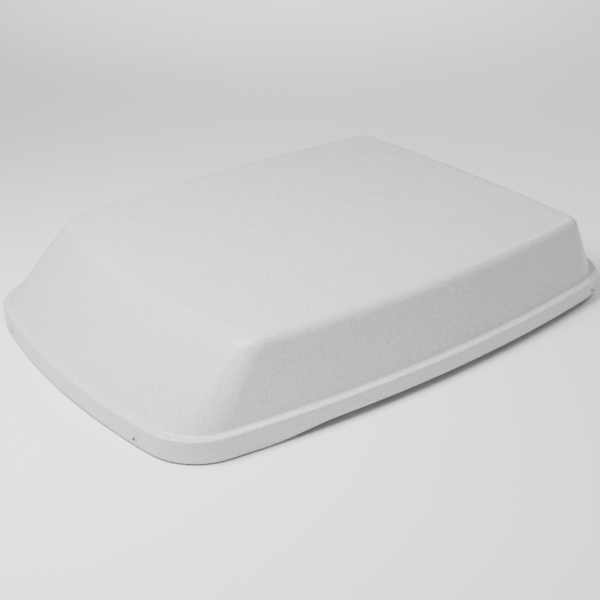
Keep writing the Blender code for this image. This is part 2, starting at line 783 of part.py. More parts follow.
def build_arm():
    loop = lever_loop((PIVOT_Y, PIVOT_Z), (PIN_Y, PIN_Z), ARM_HUB, ARM_HALF_WIDTH)
    holes = (circle((PIVOT_Y, PIVOT_Z), SHAFT_RADIUS + GAP), circle((PIN_Y, PIN_Z), ARM_PIN_RADIUS + GAP))
    mesh = side_plate("lift_arm", (loop, *holes), ARM_X - ARM_THICK / 2, ARM_THICK)
    add("lift_arm", mesh, "arm_steel")
    arm_left, arm_right = ARM_X - ARM_THICK / 2 - GAP, ARM_X + ARM_THICK / 2 + GAP
    clip_x = TRACK_X + TRACK_PLATE + CLIP_GAP
    pin = pin_profile(ARM_PIN_HEAD, ARM_PIN_RADIUS, clip_x + ARM_PIN_REACH - arm_left)
    turned("arm_pin", pin, "pin_steel", aimed((arm_left, PIN_Y, PIN_Z), (-1.0, 0.0, 0.0)))
    ring("arm_pin_clip", clip_x, PIN_Y, PIN_Z, ARM_PIN_RADIUS + GAP, PIN_CLIP_RADIUS)
    shaft = pin_profile(SHAFT_HEAD, SHAFT_RADIUS, arm_right + HOUSING_HALF + SHAFT_REACH)
    shaft_place = aimed((arm_right, PIVOT_Y, PIVOT_Z), (1.0, 0.0, 0.0))
    turned("arm_shaft", shaft, "pin_steel", shaft_place, SHAFT_STEPS)
    shaft_clip_x = -HOUSING_HALF - CLIP_THICK - CLIP_GAP
    ring("arm_shaft_clip", shaft_clip_x, PIVOT_Y, PIVOT_Z, SHAFT_RADIUS + GAP, SHAFT_CLIP_RADIUS)


def ring(name, low_x, y, z, inner, outer):
    """Snap ring on a shaft that lies along X, open at the top."""
    steps = 10
    span = 2 * math.pi - 2 * CLIP_MOUTH
    angles = [math.pi / 2 + CLIP_MOUTH + span * step / steps for step in range(steps + 1)]
    loop = [(y + outer * math.cos(a), z + outer * math.sin(a)) for a in angles]
    loop += [(y + inner * math.cos(a), z + inner * math.sin(a)) for a in reversed(angles)]
    add(name, side_plate(name, (loop,), low_x, CLIP_THICK), "pin_steel")


def build_roller():
    """Flanged roller that turns on the arm's pin and runs in the track's slot."""
    low_x = ARM_X + ARM_THICK / 2 + GAP
    hole = circle((PIN_Y, PIN_Z), ARM_PIN_RADIUS + GAP)
    rim = circle((PIN_Y, PIN_Z), ROLLER_RIM, ROLLER_STEPS)
    flange = side_plate("track_roller", (rim, hole), low_x, TRACK_X - 2 * GAP - low_x)
    roller = add("track_roller", flange, "acetal")
    tread = circle((PIN_Y, PIN_Z), ROLLER_RADIUS, ROLLER_STEPS)
    reach = TRACK_X + TRACK_PLATE + ROLLER_PROUD - low_x
    join(roller, side_plate("roller_tread", (tread, hole), low_x, reach))


def wheel_loop():
    """Worm wheel outline with a gap between teeth on the +Y side."""
    half_pitch = math.pi / WHEEL_TEETH
    root, tip = (WHEEL_PITCH_RADIUS + depth for depth in TOOTH_DEPTH)
    half_root, half_tip = TOOTH_HALF_WIDTH[0] / root, TOOTH_HALF_WIDTH[1] / tip
    loop = []
    for tooth in range(WHEEL_TEETH):
        middle = (2 * tooth + 1) * half_pitch
        for radius, angle in (
            (root, middle - half_root),
            (tip, middle - half_tip),
            (tip, middle + half_tip),
            (root, middle + half_root),
        ):
            loop.append((PIVOT_Y + radius * math.cos(angle), PIVOT_Z + radius * math.sin(angle)))
    return loop


def build_worm_wheel():
    hole = circle((PIVOT_Y, PIVOT_Z), SHAFT_RADIUS + GAP, SHAFT_STEPS)
    mesh = side_plate("worm_wheel", (wheel_loop(), hole), -WHEEL_FACE / 2, WHEEL_FACE)
    wheel = add("worm_wheel", mesh, "acetal")
    half_hub = HOUSING_HALF - HOUSING_WALL - 2 * GAP
    hub_loops = (circle((PIVOT_Y, PIVOT_Z), HUB_RADIUS, SHAFT_STEPS), hole)
    join(wheel, side_plate("wheel_hub", hub_loops, -half_hub, 2 * half_hub))


# ---- Crank -----------------------------------------------------------------------------------------


def worm_thread_mesh():
    """Right-hand thread round the spindle, whose crest meets the wheel level with the wheel's axis."""
    lead = math.pi * MODULE
    section = (
        (WORM_ROOT, -WORM_HALF_ROOT),
        (WORM_TIP, -WORM_HALF_TIP),
        (WORM_TIP, WORM_HALF_TIP),
        (WORM_ROOT, WORM_HALF_ROOT),
    )
    steps = int(2 * WORM_HALF_TURNS * SPINDLE_STEPS)
    bm = bmesh.new()
    rows = []
    for step in range(steps + 1):
        angle = 2 * math.pi * WORM_HALF_TURNS * (2 * step / steps - 1)
        height = PIVOT_Z + lead * angle / (2 * math.pi)
        heading = angle - math.pi / 2
        across, along = math.cos(heading), math.sin(heading)
        rows.append([bm.verts.new((r * across, CRANK_Y + r * along, height + rise)) for r, rise in section])
    for first, second in zip(rows, rows[1:]):
        for i in range(len(section)):
            j = (i + 1) % len(section)
            bm.faces.new((first[i], second[i], second[j], first[j]))
    bm.faces.new(rows[0])
    bm.faces.new(reversed(rows[-1]))
    bmesh.ops.recalc_face_normals(bm, faces=bm.faces)
    return finished(bm, "worm_thread")


def knob_outline():
    """Scalloped outline with a shallow hollow between each two lobes."""
    steps = 8 * KNOB_LOBES
    outline = []
    for step in range(steps):
        angle = 2 * math.pi * step / steps
        radius = KNOB_RADIUS - KNOB_LOBE_DEPTH * (1 - math.cos(KNOB_LOBES * angle))
        outline.append((radius * math.cos(angle), CRANK_Y + radius * math.sin(angle)))
    return outline


def build_crank():
    foot = KNOB_LOW + KNOB_FLOOR
    core_high, core_low = PIVOT_Z + WORM_CORE_HALF, PIVOT_Z - WORM_CORE_HALF
    profile = [
        (0.0, HOUSING_TOP - SPINDLE_SETBACK),
        (SPINDLE_RADIUS, HOUSING_TOP - SPINDLE_SETBACK - SPINDLE_CROWN),
        (SPINDLE_RADIUS, core_high),
        (WORM_CORE, core_high),
        (WORM_CORE, core_low),
        (SPINDLE_RADIUS, core_low),
        (SPINDLE_RADIUS, foot),
        (0.0, foot),
    ]
    place = Matrix.Translation((0.0, CRANK_Y, 0.0))
    spindle = turned("worm_spindle", profile, "worm_brass", place, SPINDLE_STEPS)
    join(spindle, worm_thread_mesh())
    mesh = plate_mesh("crank_knob", (knob_outline(),), KNOB_HIGH - KNOB_LOW)
    knob = add("crank_knob", mesh, "knob_plastic", Matrix.Translation((0.0, 0.0, KNOB_LOW)))
    socket = [((0.0, CRANK_Y, KNOB_HIGH), UP)]
    depth = 2 * (KNOB_HIGH - foot + GAP)
    cut(knob, cylinders_mesh("knob_socket", socket, SPINDLE_RADIUS + GAP, depth, SPINDLE_STEPS))


def build_crank_bar():
    """Bar across the opening with the gear housing in its middle, open below for the wheel and the worm."""
    end_x = OPENING_HALF - GAP
    bar = add(
        "crank_bar",
        box_mesh("crank_bar", (-end_x, BAR_Y[0], BAR_Z[0]), (end_x, BAR_Y[1], BAR_Z[1])),
        "crank_zinc",
    )
    front, rear = PIVOT_Y - HOUSING_FRONT_REACH, CRANK_Y + HOUSING_REAR_REACH
    join(bar, box_mesh("housing", (-HOUSING_HALF, front, HOUSING_LOW), (HOUSING_HALF, rear, HOUSING_TOP)))
    for side in (-1, 1):
        inner, outer = sorted((side * (end_x - BAR_FOOT), side * end_x))
        foot_low = (inner, BAR_Y[0] - BAR_FOOT_REACH, BAR_Z[0])
        foot_high = (outer, BAR_Y[1] + BAR_FOOT_REACH, BAR_Z[1])
        join(bar, box_mesh(f"bar foot {side}", foot_low, foot_high))
    half = HOUSING_HALF - HOUSING_WALL
    cavity_low = (-half, front + HOUSING_FRONT_WALL, HOUSING_LOW - THROUGH / 2)
    cavity_high = (half, rear - HOUSING_REAR_WALL, HOUSING_TOP - HOUSING_WALL)
    cut(bar, box_mesh("cavity", cavity_low, cavity_high))
    shaft = [((0.0, PIVOT_Y, PIVOT_Z), (1.0, 0.0, 0.0))]
    cut(bar, cylinders_mesh("shaft_bore", shaft, SHAFT_RADIUS + GAP, 2 * THROUGH, SHAFT_STEPS))
    top = [((0.0, CRANK_Y, HOUSING_TOP), UP)]
    cut(bar, cylinders_mesh("spindle_bore", top, SPINDLE_RADIUS + GAP, THROUGH, SPINDLE_STEPS))
    cut(bar, cylinders_mesh("foot_holes", bar_screw_sites(), BAR_SCREW_HOLE, THROUGH))
    screw_y = (front + HOUSING_FRONT_WALL / 2, rear - HOUSING_REAR_WALL / 2)
    pilots = [((0.0, y, HOUSING_LOW), UP) for y in screw_y]
    cut(bar, cylinders_mesh("lid_pilots", pilots, LID_PILOT, 2 * LID_PILOT_DEPTH))
    for number, (seat, direction) in enumerate(bar_screw_sites(), 1):
        raised = Vector(seat) + Vector(direction) * GAP
        screw(f"crank_bar_screw_{number}", raised, direction, BAR_SCREW)
    build_gear_cover(front, rear, screw_y)


def build_gear_cover(front, rear, screw_y):
    """Plate under the gear housing, with a hole for the spindle and two screws."""
    loop = rounded_rectangle((-HOUSING_HALF, front), (HOUSING_HALF, rear), GEAR_COVER_RADIUS, 2)
    holes = [circle((0.0, CRANK_Y), SPINDLE_RADIUS + GAP, SPINDLE_STEPS)]
    holes += [circle((0.0, y), LID_PILOT + GAP, SMALL_HOLE_STEPS) for y in screw_y]
    plate = plate_mesh("gear_cover_plate", (loop, *holes), HOUSING_LOW - GAP - PLATE_LOW)
    add("gear_cover_plate", plate, "crank_zinc", Matrix.Translation((0.0, 0.0, PLATE_LOW)))
    for name, y in zip(("front", "rear"), screw_y, strict=True):
        screw(f"gear_cover_screw_{name}", (0.0, y, PLATE_LOW - GAP), DOWNWARD, LID_SCREW)


# ---- Joints ----------------------------------------------------------------------------------------


def hang(joint, place, names, parent=None):
    """Parents the named pieces, where they are, to an empty on their joint's axis."""
    empty = bpy.data.objects.new(joint, None)
    empty.location = place
    pieces = [obj for obj in PARTS.objects if obj.name.startswith(names)]
    PARTS.objects.link(empty)
    for piece in pieces:
        piece.parent = empty
        piece.matrix_parent_inverse = Matrix.Translation(place).inverted()
    if parent is not None:
        empty.parent = parent
        empty.matrix_parent_inverse = parent.matrix_basis.inverted()
    return empty


def hang_on_joints():
    hang("cover_hinge", (0.0, HINGE_Y, HINGE_Z), ("cover_s", "lid_", "lift_track", "track_screw"))
    arm_pieces = ("lift_arm", "arm_pin", "arm_shaft", "worm_wheel")
    arm = hang("arm_pivot", (0.0, PIVOT_Y, PIVOT_Z), arm_pieces)
    hang("roller_spin", (TRACK_X, PIN_Y, PIN_Z), ("track_roller",), arm)
    hang("crank_turn", (0.0, CRANK_Y, 0.0), ("worm_spindle", "crank_knob"))


build_cover()
build_lid_frame()
build_lid_seal()
build_hinge_pins()
build_roof_frame()
build_gasket()
build_roof_screws()
build_track()
build_arm()
build_roller()
build_worm_wheel()
build_crank()
build_crank_bar()
hang_on_joints()
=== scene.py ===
"""Looks of the hinged roof vent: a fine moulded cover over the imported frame, and detailed hardware under it.

Metres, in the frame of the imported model: +Z up from the roof, the long slope at -Y, the hinge at +Y.
"""

import json
import math

import bmesh
import bpy
import numpy as np
from mathutils import Matrix, Vector


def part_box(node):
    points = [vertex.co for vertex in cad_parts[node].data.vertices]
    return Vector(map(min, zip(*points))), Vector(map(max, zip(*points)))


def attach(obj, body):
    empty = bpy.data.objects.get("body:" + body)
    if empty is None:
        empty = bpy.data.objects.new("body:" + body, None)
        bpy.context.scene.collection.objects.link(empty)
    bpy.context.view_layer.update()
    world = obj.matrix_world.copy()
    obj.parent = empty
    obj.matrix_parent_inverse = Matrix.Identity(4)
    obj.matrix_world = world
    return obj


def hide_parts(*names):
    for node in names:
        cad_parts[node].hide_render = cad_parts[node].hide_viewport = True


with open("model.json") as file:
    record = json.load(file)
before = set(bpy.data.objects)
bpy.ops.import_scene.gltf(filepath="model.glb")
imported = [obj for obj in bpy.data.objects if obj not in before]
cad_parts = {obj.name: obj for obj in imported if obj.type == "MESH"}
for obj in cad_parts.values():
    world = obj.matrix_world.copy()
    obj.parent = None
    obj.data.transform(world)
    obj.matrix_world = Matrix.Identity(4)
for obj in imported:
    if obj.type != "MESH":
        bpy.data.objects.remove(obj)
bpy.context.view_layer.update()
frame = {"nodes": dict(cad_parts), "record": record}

# Cover: each outline's corners are where its bowed sides would meet.
HALF_WIDTH = 0.1978
FRONT_EDGE = -0.2818
REAR_EDGE = 0.2951
BASE_BOWS = (0.0231, 0.0272, 0.0098)
BASE_RADII = (0.065, 0.071)
TOP_HALF_WIDTH = 0.1827
TOP_FRONT = -0.1931
TOP_REAR = 0.2445
TOP_BOWS = (0.0261, 0.0141, 0.0073)
TOP_RADII = (0.026, 0.012)
SIDE_RELIEF = (-0.20, -0.12)
SIDE_FACING = (0.68, 0.98)
REAR_RELIEF = (0.278, 0.292)
FRONT_SCREW_SHARE = 0.068
CORNER_HEM = 0.0015
FRONT_SCREW_Z = CORNER_HEM + 0.008
REAR_SCREW_Z = CORNER_HEM + 0.011
SIDE_HEM = 0.0075
REAR_HEM = 0.0085
HEM_ROUND = 0.0007
LEDGE_HEIGHT = 0.0254
LEDGE_WIDTH = 0.0079
LEDGE_ROUND = 0.0019
FOOT_ROUND = 0.0028
FOOT_LEAN = 0.8
SMALLEST_ROUND = 0.0006
TOP_HEIGHT = 0.0988
RIDGE = 0.013
WALL = 0.003
SKIRT_HOLE = 0.0022
SKIRT_HOLE_DEPTH = 0.012
GAP = 0.0003
BOSS_RADIUS = 0.0045
BOSS_PILOT = 0.0018
BOSS_PILOT_DEPTH = 0.004
BOSS_ROUND = 0.0003
BOSS_FILLET = 0.0015
FILLET_MIDDLE = 0.3

# How finely the curves are divided.
SIDE_STEPS = 36
CORNER_STEPS = 24
SKIRT_RINGS = 4
ROUND_RINGS = 6
SLOPE_RINGS = 10
SHOULDER_RINGS = 12
CAP_SHARES = (0.9, 0.7, 0.45, 0.2)
HOLE_STEPS = 24
BOSS_STEPS = 32
SCREW_STEPS = 32

# Screw heads and threads, as shares of the head's radius, its height, the shank's radius or the length.
RECESS_WAIST = 0.62
RECESS_REACH = 0.74
RECESS_DEPTH = 0.75
CROWN = 0.82
DOME_SHARES = (0.78, 0.84, 0.91, 0.97, 1.0)
DOME_FALL = 0.55
RIM = 0.12
RIM_TUCK = 0.97
THREAD_PITCH = 0.55
THREAD_ROOT = 0.82
THREAD_END = 0.85
FEWEST_TURNS = 4

# Rings of the recess by share of its reach and fall below the crown, then of the point by shank and length.
RECESS_RINGS = ((0.35, 1.0), (0.85, 0.7), (1.0, 0.0))
POINT_RINGS = ((0.7, 0.88), (0.1, 1.0))

# Head height and shank radius of each kind of screw whose place and length come from the frame.
ROOF_SCREW = (0.0022, 0.0020)
TRACK_SCREW = (0.0020, 0.0015)
LID_SCREW = (0.0014, 0.0012)
BAR_SCREW = (0.0018, 0.0015)

# Head radius, head height, shank radius and length.
COVER_SCREW = (0.0030, 0.0011, 0.0017, 0.014)

# Width of the eased edges on each piece of hardware.
EASED = {
    "roof_frame": 0.0006,
    "lid_frame": 0.0007,
    "lid_seal": 0.0009,
    "roof_gasket": 0.0006,
    "crank_bar": 0.0007,
    "gear_cover_plate": 0.0004,
    "crank_knob": 0.0012,
    "lift_arm": 0.0005,
    "lift_track": 0.0003,
    "track_roller": 0.0003,
    "arm_pin": 0.0003,
    "arm_shaft": 0.0004,
    "arm_pin_clip": 0.0002,
    "arm_shaft_clip": 0.0002,
    "hinge_pin_left": 0.0004,
    "hinge_pin_right": 0.0004,
}
EASE_STEPS = 2
EASE_FROM = math.radians(28)
EASE_CREASE = math.radians(32)
SCREW_CREASE = math.radians(45)
SHELL_CREASE = math.radians(50)
FLAT_WITHIN = math.radians(1)
SAME_POINT = 1e-6


# ---- Outlines ------------------------------------------------------------------------------------------


def side_circle(start, end, bow):
    """Centre and radius of the arc from start to end that bulges to the right of that direction."""
    along = end - start
    length = np.linalg.norm(along)
    outward = np.array((along[1], -along[0])) / length
    radius = (length**2 / 4 + bow**2) / (2 * bow)
    return (start + end) / 2 + outward * (bow - radius), radius


def corner_centre(first, second, radius, corner):
    """Centre of the arc of this radius that is tangent to both side circles, near their corner."""
    (c1, r1), (c2, r2) = first, second
    reach1, reach2 = r1 - radius, r2 - radius
    apart = c2 - c1
    distance = np.linalg.norm(apart)
    along = (distance**2 + reach1**2 - reach2**2) / (2 * distance)
    across = math.sqrt(reach1**2 - along**2)
    foot = c1 + apart / distance * along
    normal = np.array((-apart[1], apart[0])) / distance
    options = (foot + normal * across, foot - normal * across)
    return min(options, key=lambda point: np.linalg.norm(point - corner))


def arc_points(centre, radius, start, end, steps):
    """Points and outward normals from one direction to another, without the last point."""
    first = math.atan2(start[1], start[0])
    turn = (math.atan2(end[1], end[0]) - first) % (2 * math.pi)
    angles = first + turn * np.arange(steps) / steps
    normals = np.column_stack((np.cos(angles), np.sin(angles)))
    return centre + radius * normals, normals


def bowed_outline(half_width, front, rear, bows, radii):
    """Points and outward normals of a rounded rectangle with bowed sides, counter-clockwise."""
    places = ((-half_width, front), (half_width, front), (half_width, rear), (-half_width, rear))
    corners = [np.array(place) for place in places]
    front_bow, side_bow, rear_bow = bows
    side_bows = (front_bow, side_bow, rear_bow, side_bow)
    radius_at = (radii[0], radii[0], radii[1], radii[1])
    circles = [side_circle(corners[i], corners[(i + 1) % 4], side_bows[i]) for i in range(4)]
    centres = [corner_centre(circles[i - 1], circles[i], radius_at[i], corners[i]) for i in range(4)]
    points, normals = [], []
    for i in range(4):
        after = (i + 1) % 4
        side_centre, side_radius = circles[i]
        start, end = centres[i] - side_centre, centres[after] - side_centre
        turn_to = centres[after] - circles[after][0]
        for found in (
            arc_points(side_centre, side_radius, start, end, SIDE_STEPS),
            arc_points(centres[after], radius_at[after], end, turn_to, CORNER_STEPS),
        ):
            points.append(found[0])
            normals.append(found[1])
    return np.vstack(points), np.vstack(normals)


BASE, BASE_NORMALS = bowed_outline(HALF_WIDTH, FRONT_EDGE, REAR_EDGE, BASE_BOWS, BASE_RADII)


def top_outline(inset):
    half_width, front, rear = TOP_HALF_WIDTH - inset, TOP_FRONT + inset, TOP_REAR - inset
    return bowed_outline(half_width, front, rear, TOP_BOWS, TOP_RADII)[0]


def smoothstep(low, high, value):
    share = np.clip((value - low) / (high - low), 0.0, 1.0)
    return share * share * (3 - 2 * share)


def at_height(points, height):
    return np.column_stack((points, np.broadcast_to(height, len(points))))


# ---- Cover ---------------------------------------------------------------------------------------------


def hem_heights():
    """Height of the skirt's lower edge: lowest at the corners, relieved along the sides and the hinge."""
    side = smoothstep(*SIDE_RELIEF, BASE[:, 1]) * smoothstep(*SIDE_FACING, np.abs(BASE_NORMALS[:, 0]))
    rear = smoothstep(*REAR_RELIEF, BASE[:, 1])
    return CORNER_HEM + (SIDE_HEM - CORNER_HEM) * side + (REAR_HEM - CORNER_HEM) * rear


def rounded(before, corner, after, start, end, steps):
    """Rings of a soft corner: they leave and meet the two faces at these distances from the corner."""
    back = before - corner
    ahead = after - corner
    first = corner + back / np.linalg.norm(back, axis=1)[:, None] * start
    last = corner + ahead / np.linalg.norm(ahead, axis=1)[:, None] * end
    shares = [step / steps for step in range(steps + 1)]
    return [(1 - s) ** 2 * first + 2 * s * (1 - s) * corner + s**2 * last for s in shares]


def between(low, high, steps):
    return [low + (high - low) * step / steps for step in range(1, steps)]


def shell_rings(depth):
    """Rings of one face of the shell, from the hem to the edge of the flat top; depth is 0 outside."""
    foot = at_height(BASE - BASE_NORMALS * LEDGE_WIDTH, LEDGE_HEIGHT)
    ridge = at_height(top_outline(0.0), TOP_HEIGHT)
    flat = at_height(top_outline(RIDGE), TOP_HEIGHT - depth)
    rise = ridge - foot
    slope = np.arctan2(rise[:, 2], np.linalg.norm(rise[:, :2], axis=1))
    inward = np.column_stack((-BASE_NORMALS, np.zeros(len(BASE))))
    down = np.array((0.0, 0.0, -1.0))
    sink = inward * (depth * np.tan(slope / 2))[:, None] + down * depth
    foot = foot + sink
    ridge = ridge + sink
    skirt = BASE - BASE_NORMALS * depth
    hem = at_height(skirt, hem_heights())
    brow = at_height(skirt, LEDGE_HEIGHT - depth)
    small = max(LEDGE_ROUND - depth, SMALLEST_ROUND)
    rings = [hem + np.array((0.0, 0.0, HEM_ROUND)), *between(hem, brow, SKIRT_RINGS)]
    rings += rounded(hem, brow, foot, small, small, ROUND_RINGS)
    rings += rounded(brow, foot, ridge, FOOT_ROUND * FOOT_LEAN, FOOT_ROUND, ROUND_RINGS)
    shoulder = rounded(foot, ridge, flat, RIDGE, RIDGE, SHOULDER_RINGS)
    rings += between(rings[-1], shoulder[0], SLOPE_RINGS)
    return rings + shoulder


def add_rings(bm, rings):
    """Rows of vertices through the rings, each row joined to the next by faces."""
    rows = [[bm.verts.new(point) for point in ring] for ring in rings]
    for lower, upper in zip(rows, rows[1:]):
        for i in range(len(lower)):
            j = (i + 1) % len(lower)
            bm.faces.new((lower[i], lower[j], upper[j], upper[i]))
    return rows


def fill_ring(bm, ring):
    """Closes a ring with smaller rings drawn towards its middle, so that its shading stays even."""
    centre = sum((vert.co for vert in ring), Vector()) / len(ring)
    outer = ring
    for share in CAP_SHARES:
        inner = [bm.verts.new(centre + (vert.co - centre) * share) for vert in ring]
        for i in range(len(ring)):
            j = (i + 1) % len(ring)
            bm.faces.new((outer[i], outer[j], inner[j], inner[i]))
        outer = inner
    bm.faces.new(outer)


def mesh_from(bm, name):
    mesh = bpy.data.meshes.new(name)
    bm.to_mesh(mesh)
    bm.free()
    return mesh


def placed(name, data):
    """New object in the scene for a mesh, a light or a camera."""
    obj = bpy.data.objects.new(name, data)
    bpy.context.scene.collection.objects.link(obj)
    return obj


def riding(name, mesh, materials, body):
    """New object with these materials that moves with a body."""
    obj = placed(name, mesh)
    for material in materials:
        mesh.materials.append(material)
    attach(obj, body)
    return obj


def combine(obj, other, operation):
    """Joins the other mesh to the object or cuts it away, and removes it."""
    modifier = obj.modifiers.new("combine", "BOOLEAN")
    modifier.operation = operation
    modifier.solver = "EXACT"
    modifier.object = other
    apply_modifiers(obj)
    bpy.data.objects.remove(other, do_unlink=True)


def apply_modifiers(obj):
    graph = bpy.context.evaluated_depsgraph_get()
    mesh = bpy.data.meshes.new_from_object(obj.evaluated_get(graph))
    obj.modifiers.clear()
    obj.data = mesh


def hem_rings():
    """Rings across the skirt's lower edge, from inside to outside."""
    heights = hem_heights()
    return [at_height(BASE - BASE_NORMALS * inset, heights) for inset in (WALL - HEM_ROUND, HEM_ROUND)]


def skirt_site(index, height):
    """Place and outward direction on the skirt, at a point of the outline or between two."""
    first = int(index)
    share = index - first
    place = BASE[first] * (1 - share) + BASE[first + 1] * share
    normal = BASE_NORMALS[first] * (1 - share) + BASE_NORMALS[first + 1] * share
    return Vector((*place, height)), Vector((*normal, 0.0)).normalized()


def cover_screw_sites():
    """Two screws face the front, just before the corner arcs, and two are just round the rear corners."""
    per_side = SIDE_STEPS + CORNER_STEPS
    before, after = SIDE_STEPS * FRONT_SCREW_SHARE, CORNER_STEPS // 6
    return {
        "front_right": skirt_site(SIDE_STEPS - before, FRONT_SCREW_Z),
        "front_left": skirt_site(before, FRONT_SCREW_Z),
        "rear_right": skirt_site(per_side + SIDE_STEPS + after, REAR_SCREW_Z),
        "rear_left": skirt_site(3 * per_side - after, REAR_SCREW_Z),
    }


def aimed(centre, direction):
    """Placement with the local Z along the direction."""
    turn = Vector((0.0, 0.0, 1.0)).rotation_difference(direction).to_matrix().to_4x4()
    return Matrix.Translation(centre) @ turn


def hole_cutter():
    bm = bmesh.new()
    for seat, direction in cover_screw_sites().values():
        bmesh.ops.create_cone(
            bm,
            cap_ends=True,
            segments=HOLE_STEPS,
            radius1=SKIRT_HOLE,
            radius2=SKIRT_HOLE,
            depth=SKIRT_HOLE_DEPTH,
            matrix=aimed(seat, direction),
        )
    return placed("hole_cutter", mesh_from(bm, "hole_cutter"))


def boss_rings(x, y):
    """Rings of one track boss, from the middle of its pilot hole over its rim and up into the shell."""
    angles = 2 * math.pi * np.arange(BOSS_STEPS) / BOSS_STEPS
    circle = np.column_stack((np.cos(angles), np.sin(angles)))
    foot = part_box("lift_track")[1].z + GAP
    head = TOP_HEIGHT - WALL
    levels = (
        (BOSS_PILOT, foot + BOSS_PILOT_DEPTH),
        (BOSS_PILOT, foot + BOSS_ROUND),
        (BOSS_PILOT + BOSS_ROUND, foot),
        (BOSS_RADIUS - BOSS_ROUND, foot),
        (BOSS_RADIUS, foot + BOSS_ROUND),
        (BOSS_RADIUS, head - BOSS_FILLET),
        (BOSS_RADIUS + BOSS_FILLET * FILLET_MIDDLE, head - BOSS_FILLET * FILLET_MIDDLE),
        (BOSS_RADIUS + BOSS_FILLET, head),
        (BOSS_RADIUS + BOSS_FILLET, head + WALL / 2),
    )
    return [at_height(np.array((x, y)) + circle * radius, level) for radius, level in levels]


def build_boss(screw_node):
    """Separate closed mesh of the boss over one track screw, to be joined to the shell."""
    low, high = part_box(screw_node)
    middle = (low + high) / 2
    bm = bmesh.new()
    rows = add_rings(bm, boss_rings(middle.x, middle.y))
    bm.faces.new(rows[0])
    bm.faces.new(rows[-1])
    bmesh.ops.recalc_face_normals(bm, faces=bm.faces)
    return placed("boss", mesh_from(bm, "boss"))


def build_cover(material):
    """Shell of even thickness: its rings run down the inside, across the hem and up the outside."""
    bm = bmesh.new()
    rows = add_rings(bm, [*reversed(shell_rings(WALL)), *hem_rings(), *shell_rings(0.0)])
    fill_ring(bm, rows[-1])
    fill_ring(bm, list(reversed(rows[0])))
    cover = riding("cover_skin", mesh_from(bm, "cover_skin"), [material], "cover_body")
    for name in ("front", "middle", "rear"):
        combine(cover, build_boss(f"track_screw_{name}"), "UNION")
    combine(cover, hole_cutter(), "DIFFERENCE")
    cover.data.shade_smooth()
    cover.data.set_sharp_from_angle(angle=SHELL_CREASE)
    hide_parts("cover_shell")


# ---- Screws --------------------------------------------------------------------------------------------


def screw_rings(head, height, shank, length):
    """Rings from the middle of the recess, over the domed head and down the shank to its point."""
    angles = 2 * math.pi * np.arange(SCREW_STEPS) / SCREW_STEPS
    circle = np.column_stack((np.cos(angles), np.sin(angles)))
    lobes = RECESS_WAIST + (1 - RECESS_WAIST) * np.abs(np.cos(2 * angles)) ** 2
    reach = head * RECESS_REACH
    depth = height * RECESS_DEPTH
    crown = height * CROWN

    def ring(radius, level):
        return at_height(circle * radius, level)

    def lobed(size, level):
        return at_height(circle * (lobes * size)[:, None], level)

    recess_painted_shade = [lobed(reach * share, crown - depth * fall) for share, fall in RECESS_RINGS]
    rings = [ring(head * share, height * (1 - share**3 * DOME_FALL)) for share in DOME_SHARES]
    rings += [ring(head, height * RIM), ring(head * RIM_TUCK, 0.0), ring(shank, 0.0)]
    turns = max(int(length / (shank * THREAD_PITCH)), FEWEST_TURNS)
    for step in range(1, 2 * turns):
        crest = step % 2 == 1
        level = -length * THREAD_END * step / (2 * turns)
        rings.append(ring(shank * (1.0 if crest else THREAD_ROOT), level))
    rings += [ring(shank * share, -length * fall) for share, fall in POINT_RINGS]
    return recess_painted_shade, rings


def build_screw(node, seat, direction, size, materials):
    """Fine screw in the place of a CAD one; the second material is the near-black painted shade in the hollow
    of its head.
    """
    recess_painted_shade, rest = screw_rings(*size)
    bm = bmesh.new()
    rows = add_rings(bm, [*recess_painted_shade, *rest])
    # Faces inside the head's hollow get the second material: near-black painted shade.
    painted_shade_faces = SCREW_STEPS * (len(recess_painted_shade) - 1)
    bm.faces.ensure_lookup_table()
    for face in bm.faces[:painted_shade_faces]:
        face.material_index = 1
    bm.faces.new(rows[0]).material_index = 1
    bm.faces.new(reversed(rows[-1]))
    bmesh.ops.transform(bm, matrix=aimed(seat, direction), verts=bm.verts)
    bmesh.ops.recalc_face_normals(bm, faces=bm.faces)
    mesh = mesh_from(bm, f"{node}_fine")
    mesh.shade_smooth()
    mesh.set_sharp_from_angle(angle=SCREW_CREASE)
    obj = riding(f"{node}_fine", mesh, materials, body_of(node))
    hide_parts(node)


def body_of(node):
    bodies = frame["record"]["behaviour"]["bodies"]
    return next(body for body, nodes in bodies.items() if node in nodes)


def slot_of(node):
    return next(part["material_slot"] for part in frame["record"]["subparts"] if part["node"] == node)


def screw_from_box(node, direction, size, materials):
    """Fine screw in the place of a CAD one whose axis lies along X, Y or Z."""
    head_height, shank = size
    low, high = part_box(node)
    axis = max(range(3), key=lambda i: abs(direction[i]))
    across = (axis + 1) % 3
    head = (high[across] - low[across]) / 2
    top = high[axis] if direction[axis] > 0 else low[axis]
    seat = (low + high) / 2
    seat[axis] = top - direction[axis] * head_height
    length = (high[axis] - low[axis]) - head_height
    build_screw(node, seat, direction, (head, head_height, shank, length), materials)


def build_screws(materials):
    up, down = Vector((0.0, 0.0, 1.0)), Vector((0.0, 0.0, -1.0))
    # Each screw's second material is near-black painted shade in the hollow of its head.
    steel = (materials["screw_steel"], materials["recess_painted_shade"])
    painted = (materials["cover_screw_paint"], materials["recess_painted_shade"])
    for number in range(1, 13):
        screw_from_box(f"roof_screw_{number:02d}", up, ROOF_SCREW, steel)
    for name in ("front", "middle", "rear"):
        screw_from_box(f"track_screw_{name}", down, TRACK_SCREW, steel)
    for name in ("front", "rear"):
        screw_from_box(f"gear_cover_screw_{name}", down, LID_SCREW, steel)
    for number in range(1, 5):
        node = f"crank_bar_screw_{number}"
        side = 1.0 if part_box(node)[0].x > 0 else -1.0
        screw_from_box(node, Vector((-side, 0.0, 0.0)), BAR_SCREW, steel)
    for name, (seat, direction) in cover_screw_sites().items():
        build_screw(f"cover_screw_{name}", seat + direction * GAP, direction, COVER_SCREW, painted)


# ---- Hardware: CAD shapes with eased edges -------------------------------------------------------------


